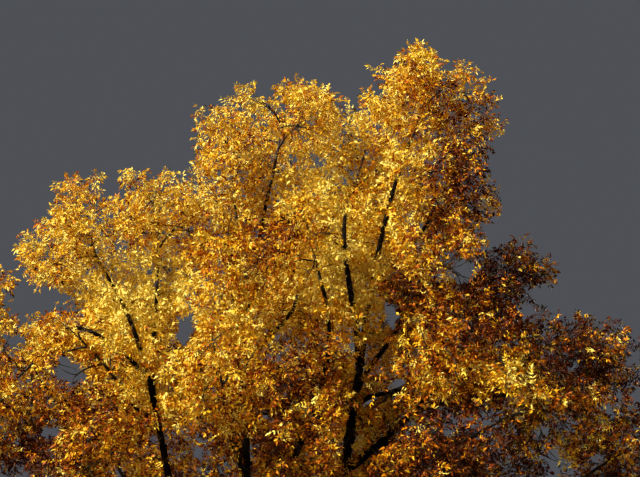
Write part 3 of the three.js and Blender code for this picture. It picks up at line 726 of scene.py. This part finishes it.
def grow(limb, space, obstacles, seed):
    """All the wood in one mass: its stem, branches, branchlets and twigs, as curves in four lists, and which
    of the twigs may stand outside the mass, on the limb itself or in a tuft."""
    chance = np.random.default_rng(seed)
    stem = stem_curve(limb, space)
    branches = branch_curves(stem, space, obstacles, seed)
    wood, headings = samples_on([stem, *branches], first=0.25, count=12)
    count = round(CLUMPS_PER_M3 * 4 / 3 * math.pi * space["half"].prod())
    share = np.resize(CLUMP_SHARES, count) + chance.uniform(-CLUMP_SHARE_SPREAD, CLUMP_SHARE_SPREAD, count)
    directions = even_directions(count, chance.uniform(0, math.tau))
    directions = unit(directions + chance.normal(0, CLUMP_TILT, (count, 3)))
    middles = space["centre"] + directions * space["half"] * share[:, None]
    middles = middles[held(space, middles) & ~in_gap(middles, CLUMP_GAP)]
    core = masses_near(middles) >= CORE_MASSES
    middles = middles[~core | (chance.uniform(0, 1, len(middles)) < CORE_SHARE)]
    outer = clumps_on(curves[limb["name"]], LEAFY_LIMBS.get(limb["name"], LIMB_CLUMPS_SPACING), chance)
    outer = outer[~in_gap(outer, CLUMP_GAP)]
    tufts = np.array(TUFTS.get(limb["name"], [])).reshape(-1, 3)
    limb_wood, limb_headings = samples_on([curves[limb["name"]]], first=0.4, count=40)
    branchlets, twigs, outside = [], [], []
    for number, middle in enumerate(np.vstack([middles, outer, tufts])):
        beside_limb = len(middles) <= number < len(middles) + len(outer)
        in_tuft = number >= len(middles) + len(outer)
        branchlet = shoot(limb_wood, limb_headings, middle) if beside_limb else shoot(wood, headings, middle)
        free_from = BESIDE_FREE_FROM if beside_limb else BRANCHLET_FREE_FROM
        checks = point_on(branchlet, np.linspace(free_from, 1, BRANCHLET_CHECKS))
        if not clear_of(obstacles, checks, BRANCHLET_ROOM).all():
            continue
        branchlets.append(branchlet)
        own_wood, own_headings = samples_on([branchlet], first=0.35, count=9)
        spread = even_directions(TWIGS_PER_CLUMP, chance.uniform(0, math.tau)) * (1, 1, CLUMP_FLATTENING)
        spread = spread * CLUMP_RADIUS + chance.normal(0, CLUMP_SCATTER, spread.shape)
        ends = middle + spread * (TUFT_SIZE if in_tuft else 1)
        free = clear_of(obstacles, ends, TWIG_ROOM) & ~in_gap(ends, TWIG_GAP)
        free &= beside_limb | in_tuft | held(space, ends, TWIG_LIMIT)
        twigs += [shoot(own_wood, own_headings, end) for end in ends[free]]
        outside += [beside_limb or in_tuft] * free.sum()
    return stem, branches, branchlets, twigs, np.array(outside)


def tubes(shoots, radii, sides, rings):
    """Tapering tubes along many curves at once, closed at the tip, as points and triangles."""
    shares = np.linspace(0, 1, rings)
    points, faces = [], []
    angle = np.arange(sides) * math.tau / sides
    step = np.arange(sides)
    bands = []
    for ring in range(rings - 2):
        near, turned = ring * sides + step, ring * sides + (step + 1) % sides
        bands.append(np.stack([near, turned, turned + sides], 1))
        bands.append(np.stack([near, turned + sides, near + sides], 1))
    last = (rings - 2) * sides
    tip = (rings - 1) * sides
    bands.append(np.stack([last + step, last + (step + 1) % sides, np.full(sides, tip)], 1))
    pattern = np.vstack(bands)
    for i, curve in enumerate(shoots):
        centres, _, side, other = rings_on(curve, shares)
        radius = radii[0] + (radii[1] - radii[0]) * shares[:-1, None, None]
        out = side[:-1, None] * np.cos(angle)[:, None] + other[:-1, None] * np.sin(angle)[:, None]
        points.append(np.vstack([(centres[:-1, None] + out * radius).reshape(-1, 3), centres[-1:]]))
        faces.append(pattern + i * (tip + 1))
    return np.vstack(points), np.vstack(faces)


def joined(parts):
    """Points and triangles of several sets, as one set."""
    starts = np.cumsum([0] + [len(points) for points, _ in parts[:-1]])
    points = np.vstack([points for points, _ in parts])
    return points, np.vstack([faces + start for (_, faces), start in zip(parts, starts)])


def mesh_piece(name, points, faces):
    mesh = bpy.data.meshes.new(name)
    mesh.vertices.add(len(points))
    mesh.vertices.foreach_set("co", points.astype(np.float32).ravel())
    mesh.loops.add(faces.size)
    mesh.loops.foreach_set("vertex_index", faces.astype(np.int32).ravel())
    mesh.polygons.add(len(faces))
    mesh.polygons.foreach_set("loop_start", np.arange(0, faces.size, 3, dtype=np.int32))
    mesh.update(calc_edges=True)
    return placed(name, mesh)


def twig_finish():
    material, tree, shader = new_finish("twig bark")
    place = tree.nodes.new("ShaderNodeTexCoord").outputs["Object"]
    speckle = noise(tree, place, scale=30, detail=4)
    stops = [(0.3, TWIG_DARK), (0.7, TWIG_PALE)]
    tree.links.new(colours_over(tree, speckle, stops), shader.inputs["Base Color"])
    tree.links.new(between(tree, speckle, low=0.65, high=0.85), shader.inputs["Roughness"])
    raise_bumps(tree, shader, speckle, strength=0.4, distance=0.002)
    return material


limb_beads = np.vstack(
    [beads_on(trunk_curve, lambda shares: trunk_radius(shares, 0))]
    + [beads_on(curves[limb["name"]], lambda shares: limb_radius(limb, shares)) for limb in LIMBS])
by_name = {limb["name"]: limb for limb in LIMBS}
shown_beads = []
for name, first, last, margin in SEEN_LIMBS:
    beads = beads_on(curves[name], lambda shares: limb_radius(by_name[name], shares))
    opening = np.sin(SEEN_WAVE * BEAD_SPACING * np.arange(len(beads)) + len(name))
    beads[:, 3] += margin + SEEN_CLOSING * (opening - 1) / 2
    shares = np.linspace(0, 1, len(beads))
    shown_beads.append(beads[(shares >= first) & (shares <= last) & (opening > SEEN_SHUT)])
shown_beads = np.vstack(shown_beads)
shown_places = seen_against(shown_beads[:, :3])[:, [0, 2]]

all_centres = np.array([limb["centre"] for limb in LIMBS])
all_halves = np.array([limb["half"] for limb in LIMBS])
spaces = {limb["name"]: space_of(limb, FIRST_SEED + number) for number, limb in enumerate(LIMBS)}
stem_beads = {
    limb["name"]: beads_on(stem_curve(limb, spaces[limb["name"]]), lambda shares: 0 * shares + STEM_RADII[0])
    for limb in LIMBS}
twig_bark = twig_finish()
masses = []
for number, limb in enumerate(LIMBS):
    space = spaces[limb["name"]]
    other_stems = [beads for name, beads in stem_beads.items() if name != limb["name"]]
    beads = np.vstack([limb_beads, *other_stems])
    reach = space["half"].max() + OBSTACLE_REACH
    obstacles = beads[np.linalg.norm(beads[:, :3] - space["centre"], axis=1) < reach + beads[:, 3]]
    stem, branches, branchlets, twigs, outside = grow(limb, space, obstacles, FIRST_SEED + SEED_STEP * number)
    wood = joined([
        tubes([stem], STEM_RADII, sides=8, rings=12),
        tubes(branches, BRANCH_RADII, sides=6, rings=9),
        tubes(branchlets, BRANCHLET_RADII, sides=4, rings=5),
        tubes(twigs, TWIG_RADII, sides=3, rings=3),
    ])
    node = limb["name"].replace("stem", "leaves").replace("bough", "leaves")
    masses.append({"node": node, "tint": limb["tint"], "space": space, "obstacles": obstacles,
                   "twigs": twigs, "outside": outside, "wood": wood, "seed": FIRST_SEED + SEED_STEP * number})

for tint in ("gold", "amber", "bronze"):
    own = [mass for mass in masses if mass["tint"] == tint]
    twig_piece = mesh_piece("twigs_" + tint, *joined([mass["wood"] for mass in own]))
    twig_piece.data.materials.append(twig_bark)
    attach(twig_piece, "root")
    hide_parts(*[mass["node"] for mass in own])


# The leaves
# Each leaf is five to nine narrow leaflets in pairs on a thin stalk, with one at the end. Leaves ring the tip
# of every twig and hang a little. They have turned from yellow to brown, and painted light and shade lie over
# that: yellower where the crown is sunny, browner where it is shaded.
LEAVES_PER_TWIG = 6
LEAF_LENGTH = (0.25, 0.33)
LEAF_SPACING = 0.02  # between the leaves' feet, down from the twig's tip
LEAF_LIFT = (math.radians(35), math.radians(85))  # between a leaf and its twig
LEAF_DROOP = (0.1, 0.55)
LEAF_FACE_UP = 0.75
LEAF_FACE_OUT = 0.45
LEAF_FACE_ANY = 0.9
LEAF_ROOM = 0.02
LEAF_MIDDLE = 0.6  # of its length, where a leaf keeps clear of limbs as well as at its end
LEAF_LIMIT = 1.02
STALK_WIDTH = 0.018  # sizes of a leaf's own parts are shares of its length
STALK_LENGTH = 0.9
END_LEAFLET = 0.42
PAIR_PLACE = 0.32  # of the first pair of leaflets on the stalk
PAIR_PLACE_GAIN = 0.5  # how much further along it the last pair stands
PAIR_LENGTH = 0.29
PAIR_LENGTH_GAIN = 0.1
PAIR_ANGLE = 66  # degrees from the stalk
PAIR_ANGLE_LOSS = 18
PAIR_SHIFT = 0.02
PAIR_SWING = 16
LEAFLET_LENGTHS = (0.85, 1.1)  # as a share of the pair's length
LEAFLET_WIDTH = 0.46  # as a share of the leaflet's own length
LEAFLET_WIDEST = 0.45
LEAFLET_FOLD = 0.08
LEAFLET_HANG = 0.35
LEAFLET_HANGS = (0.2, 1.8)  # as shares of that
LEAFLET_ROLL = math.radians(45)
LEAF_SHINE = 0.16
LEAF_THROUGH = 0.16  # of the light that falls on a leaf goes through it
THROUGH_SHARES = (1.2, 0.95, 0.6)  # of its red, green and blue
LEAF_KINDS = [2, 3, 3, 3, 4, 3, 3, 2, 3]  # pairs of leaflets
PIECE_LIMIT = 190000  # triangles

# From the sunny side of the crown to its shade, and last the olive of leaves that haven't turned
TINTS = [
    ("pale yellow", (0.85, 0.7, 0.16)),
    ("bright gold", (0.8, 0.56, 0.05)),
    ("deep gold", (0.72, 0.42, 0.016)),
    ("orange gold", (0.58, 0.215, 0.004)),
    ("ochre", (0.38, 0.105, 0.002)),
    ("rust", (0.2, 0.038, 0.002)),
    ("brown", (0.06, 0.013, 0.001)),
    ("olive", (0.09, 0.06, 0.008)),
]
TURN_AND_SHADE = {"gold": 0.22, "amber": 0.36, "bronze": 0.55}  # how far a mass's leaves have turned, from 0 to 1, partly their own colour and partly painted shade on the masses that lie in shade
OLIVE_CHANCE = {"gold": 0.01, "amber": 0.04, "bronze": 0.12}
CLUMP_PAINTED_LIGHT = (0.07, 0.4)  # painted light and shade between clumps, lit and shaded, for yellow leaves and for fully turned ones
CLUMP_CODE = (73, 179, 283)  # this and the next two values give each clump its own painted brightness
CLUMP_CODES = 997
CLUMP_CODE_TURN = 2.4
SPRAY_TURN = 0.08  # between the sprays at the ends of twigs
LEAF_TURN_AND_SHADE = (0.08, 0.36)  # between the leaves of a spray, partly their own random tone and partly painted light and shade, again for yellow and for fully turned ones
LEAFLET_TURN_AND_SHADE = (0.05, 0.24)  # and between the leaflets of a leaf, likewise partly painted light and shade
OLIVE = 9.0  # stands for a leaf that is still olive
LOW_PAINTED_SHADE = (13.5, 0.075, 5)  # below this height leaves are painted browner as shade, this much further a metre, over so many
RIGHT_PAINTED_SHADE = (5.0, 0.04, 4)  # and so are those this far to the right, painted browner as shade

# Parts of the crown that are sunnier or shadier than the rest, painted into the leaves' tints: middle and
# radius, as for the gaps above, and how much browner the leaves there are painted as shade; below 0, how much
# yellower they are painted as sun
PAINTED_LIGHT_ZONES = [
    (3.2, 20.6, 1.0, 0.08),
    (5.2, 20.2, 1.1, 0.28),
    (5.3, 18.0, 1.2, 0.45),
    (1.6, 18.2, 1.2, -0.12),
    (0.0, 16.3, 0.8, 0.45),
    (-1.7, 15.9, 0.7, 0.3),
    (-2.9, 15.0, 1.0, -0.2),
    (-1.6, 17.0, 0.9, -0.1),
    (2.0, 15.2, 1.1, -0.2),
    (3.4, 14.7, 0.5, 0.5),
    (4.9, 15.6, 1.3, 0.2),
    (6.2, 14.7, 1.2, 0.5),
    (5.2, 14.0, 1.0, 0.4),
    (-3.8, 14.4, 1.0, -0.3),
    (-3.4, 12.2, 0.9, -0.16),
    (-2.2, 11.4, 0.8, -0.12),
    (0.9, 12.2, 1.0, 0.25),
    (-6.0, 10.0, 1.1, 0.4),
    (-4.7, 11.7, 0.8, 0.22),
    (2.4, 11.2, 0.9, -0.12),
    (4.9, 10.5, 1.3, 0.6),
    (-1.2, 10.2, 0.9, 0.22),
    (0.1, 10.4, 0.6, 0.2),
    (1.7, 10.5, 0.5, -0.25),
    (7.8, 13.2, 1.0, 0.6),
    (7.7, 11.5, 0.7, -0.3),
    (6.1, 12.4, 0.45, -0.55),
    (6.7, 11.9, 0.4, -0.55),
    (8.7, 13.0, 0.3, -0.55),
    (7.6, 10.2, 0.4, -0.5),
]


def leaf_pattern(pairs, chance):
    """One leaf of unit length along +X, facing +Z, as points and triangles."""
    points = [(0, -STALK_WIDTH / 2, 0), (0, STALK_WIDTH / 2, 0), (STALK_LENGTH, 0, 0)]
    faces = [(0, 2, 1)]
    leaflets = [(STALK_LENGTH, 0.0, END_LEAFLET)]
    for pair in range(pairs):
        share = pair / (pairs - 1)
        place = PAIR_PLACE + PAIR_PLACE_GAIN * share
        length = PAIR_LENGTH + PAIR_LENGTH_GAIN * share
        turn = PAIR_ANGLE - PAIR_ANGLE_LOSS * share
        for side in (-1, 1):
            angle = side * math.radians(turn + chance.uniform(-PAIR_SWING, PAIR_SWING))
            foot = place + chance.uniform(-PAIR_SHIFT, PAIR_SHIFT)
            leaflets.append((foot, angle, length * chance.uniform(*LEAFLET_LENGTHS)))
    for place, angle, length in leaflets:
        ahead = np.array([math.cos(angle), math.sin(angle), 0])
        aside = np.array([-math.sin(angle), math.cos(angle), 0])
        down = np.array([0, 0, -1]) * LEAFLET_HANG * chance.uniform(*LEAFLET_HANGS)
        foot = np.array([place, 0, 0])
        middle = foot + ahead * length * LEAFLET_WIDEST + down * length * LEAFLET_WIDEST**2
        roll = chance.normal(0, LEAFLET_ROLL)
        width = (aside * math.cos(roll) + np.array([0, 0, math.sin(roll)])) * length * LEAFLET_WIDTH / 2
        raised = np.array([0, 0, LEAFLET_FOLD * length])
        start = len(points)
        points += [foot, middle - width + raised, foot + (ahead + down) * length, middle + width + raised]
        faces += [(start, start + 1, start + 2), (start, start + 2, start + 3)]
    return np.array(points, float), np.array(faces)


def leaf_finish(name, colour):
    material, tree, shader = new_finish("leaf " + name)
    shader.inputs["Base Color"].default_value = (*colour, 1)
    shader.inputs["Specular IOR Level"].default_value = LEAF_SHINE
    place = tree.nodes.new("ShaderNodeTexCoord").outputs["Object"]
    mottle = noise(tree, place, scale=45, detail=3)
    tree.links.new(between(tree, mottle, low=0.42, high=0.68), shader.inputs["Roughness"])
    raise_bumps(tree, shader, mottle, strength=0.25, distance=0.004)
    through = tree.nodes.new("ShaderNodeBsdfTranslucent")
    shone = [min(1, share * part) for share, part in zip(THROUGH_SHARES, colour)]
    through.inputs["Color"].default_value = (*shone, 1)
    blade = tree.nodes.new("ShaderNodeMixShader")
    blade.inputs["Fac"].default_value = LEAF_THROUGH
    tree.links.new(shader.outputs["BSDF"], blade.inputs[1])
    tree.links.new(through.outputs["BSDF"], blade.inputs[2])
    tree.links.new(blade.outputs["Shader"], tree.nodes["Material Output"].inputs["Surface"])
    return material


def lay_leaves(mass, chance):
    """The leaves of one mass: their feet, directions, faces, lengths and how far each has turned, with
    painted light and shade added in.
    """
    twigs = np.array(mass["twigs"])
    tips = twigs[:, 2]
    headings = unit(twigs[:, 2] - twigs[:, 1])
    count = len(tips)
    space = mass["space"]
    outward = unit((tips - space["centre"]) / space["half"])
    axis = np.eye(3)[np.argmin(np.abs(headings), axis=1)]
    side = unit(axis - headings * (axis * headings).sum(axis=1, keepdims=True))
    other = np.cross(headings, side)
    first_turn = chance.uniform(0, math.tau, count)
    # Partly painted shade: masses that lie in shade start from a browner tint
    spray_tint_and_shade = TURN_AND_SHADE[mass["tint"]] + chance.normal(0, SPRAY_TURN, count)
    # Painted shade: sprays low in the crown are dealt browner tints
    spray_tint_and_shade = spray_tint_and_shade + LOW_PAINTED_SHADE[1] * np.clip(LOW_PAINTED_SHADE[0] - tips[:, 2], 0, LOW_PAINTED_SHADE[2])
    # Painted shade: sprays far to the right are dealt browner tints
    spray_tint_and_shade = spray_tint_and_shade + RIGHT_PAINTED_SHADE[1] * np.clip(tips[:, 0] - RIGHT_PAINTED_SHADE[0], 0, RIGHT_PAINTED_SHADE[2])
    clump = np.floor(tips / (2 * CLUMP_RADIUS)).astype(int)
    clump_light = np.sin((clump @ np.array(CLUMP_CODE)) % CLUMP_CODES * CLUMP_CODE_TURN)
    seen = seen_against(tips)
    # Painted light and shade, zone by zone across the crown as it is seen from the eye
    for x, z, radius, turn in PAINTED_LIGHT_ZONES:
        spray_tint_and_shade += turn * np.exp(-((seen[:, 0] - x) ** 2 + (seen[:, 2] - z) ** 2) / radius**2)
    # Painted light and shade: clumps are dealt lighter and darker tints, as lit tops and shaded undersides
    spray_tint_and_shade = spray_tint_and_shade + np.interp(spray_tint_and_shade, (0, 1), CLUMP_PAINTED_LIGHT) * clump_light
    # Partly painted light and shade: a random speckle of lighter and darker leaves
    leaf_turn_and_shade = np.interp(spray_tint_and_shade, (0, 1), LEAF_TURN_AND_SHADE)
    feet, directions, faces, lengths, turns = [], [], [], [], []
    for leaf in range(LEAVES_PER_TWIG):
        angle = (first_turn + leaf * GOLDEN_TURN)[:, None]
        lift = chance.uniform(*LEAF_LIFT, (count, 1))
        ring = side * np.cos(angle) + other * np.sin(angle)
        direction = headings * np.cos(lift) + ring * np.sin(lift)
        direction = unit(direction - UP * chance.uniform(*LEAF_DROOP, (count, 1)))
        facing = UP * LEAF_FACE_UP + outward * LEAF_FACE_OUT + chance.normal(0, LEAF_FACE_ANY, (count, 3))
        facing = unit(facing - direction * (facing * direction).sum(axis=1, keepdims=True))
        length = chance.uniform(*LEAF_LENGTH, count)
        foot = tips - headings * LEAF_SPACING * leaf
        ends = foot + direction * length[:, None]
        middle = foot + direction * length[:, None] * LEAF_MIDDLE
        free = inside(space, ends, LEAF_LIMIT) | mass["outside"]
        for points in (ends, middle):
            free &= clear_of(mass["obstacles"], points, LEAF_ROOM) & ~before_limbs(points)
        free &= ~in_gap(ends, LEAF_GAP)
        feet.append(foot[free])
        directions.append(direction[free])
        faces.append(facing[free])
        lengths.append(length[free])
        # Each leaf's tint: how far it has turned, together with its painted light and shade
        turned = spray_tint_and_shade + leaf_turn_and_shade * chance.normal(0, 1, count)
        turned[chance.uniform(0, 1, count) < OLIVE_CHANCE[mass["tint"]]] = OLIVE
        turns.append(turned[free])
    return [np.concatenate(part) for part in (feet, directions, faces, lengths, turns)]


def tints_of(turned, leaflets, chance):
    """The tint of each leaflet, by how far its leaf has turned with its painted light and shade, or olive."""
    # Partly painted light and shade: a random speckle of lighter and darker leaflets
    spread = np.interp(turned, (0, 1), LEAFLET_TURN_AND_SHADE)
    shades = turned[:, None] + spread[:, None] * chance.normal(0, 1, (len(turned), leaflets))
    tints = np.clip((shades * (len(TINTS) - 1)).astype(int), 0, len(TINTS) - 2)
    return np.where(turned[:, None] == OLIVE, len(TINTS) - 1, tints)


def leaf_mesh(feet, directions, facing, lengths, turned, patterns, chance):
    """Every leaf as points and triangles, and the tint of each triangle."""
    kinds = chance.integers(0, len(patterns), len(feet))
    breadth = np.cross(facing, directions)
    parts, colours = [], []
    for kind, (points, faces) in enumerate(patterns):
        mine = kinds == kind
        sizes = lengths[mine][:, None, None]
        laid = feet[mine][:, None] + sizes * (
            points[None, :, 0:1] * directions[mine][:, None]
            + points[None, :, 1:2] * breadth[mine][:, None]
            + points[None, :, 2:3] * facing[mine][:, None])
        starts = np.arange(mine.sum())[:, None, None] * len(points)
        parts.append((laid.reshape(-1, 3), (faces[None] + starts).reshape(-1, 3)))
        leaflet = (np.arange(len(faces)) + 1) // 2
        colours.append(tints_of(turned[mine], leaflet[-1] + 1, chance)[:, leaflet].ravel())
    points, faces = joined(parts)
    return points, faces, np.concatenate(colours)


leaf_finishes = [leaf_finish(name, colour) for name, colour in TINTS]
pattern_chance = np.random.default_rng(FIRST_SEED)
patterns = [leaf_pattern(pairs, pattern_chance) for pairs in LEAF_KINDS]
for mass in masses:
    chance = np.random.default_rng(mass["seed"] + 1)
    mass["leaves"] = leaf_mesh(*lay_leaves(mass, chance), patterns, chance)

for tint in ("gold", "amber", "bronze"):
    groups = [[]]
    for mass in masses:
        if mass["tint"] != tint:
            continue
        if sum(len(other["leaves"][1]) for other in groups[-1] + [mass]) > PIECE_LIMIT:
            groups.append([])
        groups[-1].append(mass)
    for number, group in enumerate(groups, start=1):
        points, faces = joined([mass["leaves"][:2] for mass in group])
        leaf_piece = mesh_piece(f"leaves_{tint}_{number}", points, faces)
        for finish in leaf_finishes:
            leaf_piece.data.materials.append(finish)
        tints = np.concatenate([mass["leaves"][2] for mass in group]).astype(np.int32)
        leaf_piece.data.polygons.foreach_set("material_index", tints)
        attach(leaf_piece, "root")
        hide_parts(*[mass["node"] for mass in group])


# The ground
# A plain pale floor, level with the flat cut under the trunk and a little wider than the crown.
FLOOR_RADIUS = 12
FLOOR_SIDES = 96
FLOOR_COLOUR = (0.4, 0.39, 0.37, 1)
FLOOR_ROUGHNESS = 0.9

floor_angle = np.arange(FLOOR_SIDES) * math.tau / FLOOR_SIDES
floor_rim = np.stack([np.cos(floor_angle), np.sin(floor_angle), 0 * floor_angle], axis=1) * FLOOR_RADIUS
floor_mesh = bpy.data.meshes.new("floor")
floor_mesh.from_pydata(floor_rim.tolist(), [], [list(range(FLOOR_SIDES))])
floor = placed("floor", floor_mesh)
floor_finish, _, floor_shader = new_finish("pale floor")
floor_shader.inputs["Base Color"].default_value = FLOOR_COLOUR
floor_shader.inputs["Roughness"].default_value = FLOOR_ROUGHNESS
floor_mesh.materials.append(floor_finish)


# The light
# One large lamp stands high on the left, a little in front. A weaker and softer one behind on the right keeps
# the far side from going black, and a little pale air fills the shadows.
LAMPS = [
    {"name": "lamp", "from": (-0.72, -0.5, 0.6),
     "strength": 7.4, "softness": 4, "colour": (1.0, 0.95, 0.86)},
    {"name": "lamp_behind", "from": (0.62, 0.7, 0.4),
     "strength": 2.4, "softness": 25, "colour": (1.0, 0.97, 0.92)},
]
AIR = (0.86, 0.9, 1.0, 1)
AIR_STRENGTH = 0.1

for light in LAMPS:
    lamp = bpy.data.lights.new(light["name"], "SUN")
    lamp.energy = light["strength"]
    lamp.angle = math.radians(light["softness"])
    lamp.color = light["colour"]
    right, back, height = light["from"]
    stand = placed(light["name"], lamp)
    stand.rotation_euler = (math.atan2(math.hypot(right, back), height), 0, math.atan2(right, -back))
air = bpy.data.worlds.new("air")
air.use_nodes = True
air.node_tree.nodes["Background"].inputs["Color"].default_value = AIR
air.node_tree.nodes["Background"].inputs["Strength"].default_value = AIR_STRENGTH
bpy.context.scene.world = air
bpy.context.scene.view_settings.view_transform = "Standard"
bpy.context.scene.view_settings.look = "Medium High Contrast"
